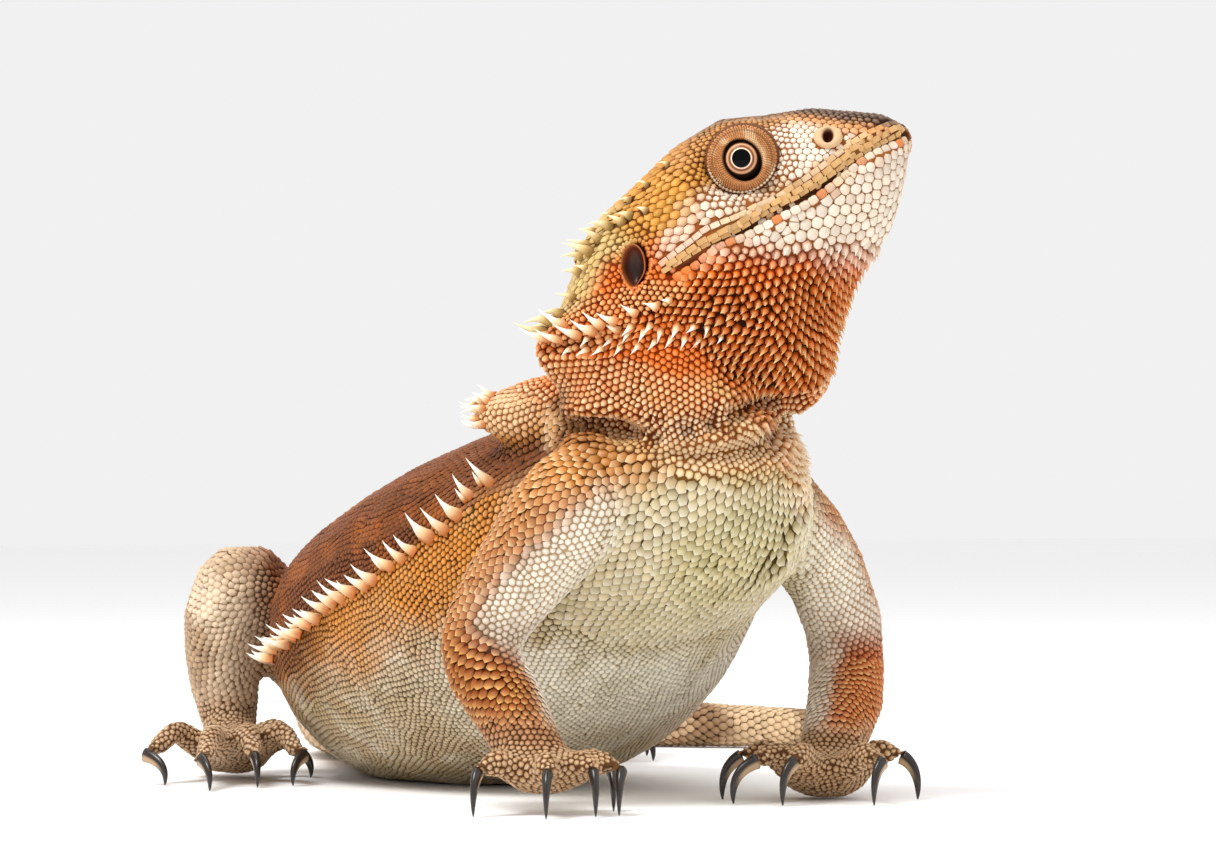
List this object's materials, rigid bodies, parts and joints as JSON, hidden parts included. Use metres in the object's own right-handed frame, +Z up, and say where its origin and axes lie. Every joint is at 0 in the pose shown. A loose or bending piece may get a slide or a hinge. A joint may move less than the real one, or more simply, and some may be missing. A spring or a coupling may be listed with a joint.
{
  "type": "bearded dragon",
  "caption": "Life-size still model of an adult bearded dragon, propped up on its forelegs with its belly and tail on the floor, head raised and turned to its left.",
  "frame": {"origin": "middle of the base of the animal's bounding box, on the floor", "axes": "+Z up, the trunk faces -Y and its left side is +X; the head is turned 55 degrees to the animal's left"},
  "size_m": [0.206, 0.2506, 0.1185],
  "materials": {
    "head_skin": "dry scaly skin, rust orange with pale scale tips",
    "jaw_skin": "dry scaly skin, white plates with orange seams",
    "flank_skin": "dry scaly skin, ochre granules fading to a whitish belly",
    "arm_skin": "dry keeled scales, rust with pale rims",
    "hind_skin": "dry keeled scales, tan brown with pale bands",
    "eye": "wet and glossy, black pupil in a copper iris",
    "claw": "smooth dark horn"
  },
  "bodies": {
    "root": {"beard": "head_skin", "claw_front_left_1": "claw", "claw_front_left_2": "claw", "claw_front_left_3": "claw", "claw_front_left_4": "claw", "claw_front_left_5": "claw", "claw_front_right_1": "claw", "claw_front_right_2": "claw", "claw_front_right_3": "claw", "claw_front_right_4": "claw", "claw_front_right_5": "claw", "claw_hind_left_1": "claw", "claw_hind_left_2": "claw", "claw_hind_left_3": "claw", "claw_hind_left_4": "claw", "claw_hind_left_5": "claw", "claw_hind_right_1": "claw", "claw_hind_right_2": "claw", "claw_hind_right_3": "claw", "claw_hind_right_4": "claw", "claw_hind_right_5": "claw", "eye_left": "eye", "eye_right": "eye", "foot_left": "hind_skin", "foot_right": "hind_skin", "forearm_left": "arm_skin", "forearm_right": "arm_skin", "hand_left": "arm_skin", "hand_right": "arm_skin", "head": "head_skin", "hips": "hind_skin", "lower_jaw": "jaw_skin", "neck": "head_skin", "shank_left": "hind_skin", "shank_right": "hind_skin", "tail_1": "hind_skin", "tail_2": "hind_skin", "tail_3": "hind_skin", "tail_4": "hind_skin", "thigh_left": "hind_skin", "thigh_right": "hind_skin", "trunk": "flank_skin", "upper_arm_left": "arm_skin", "upper_arm_right": "arm_skin"}
  },
  "joints": []
}
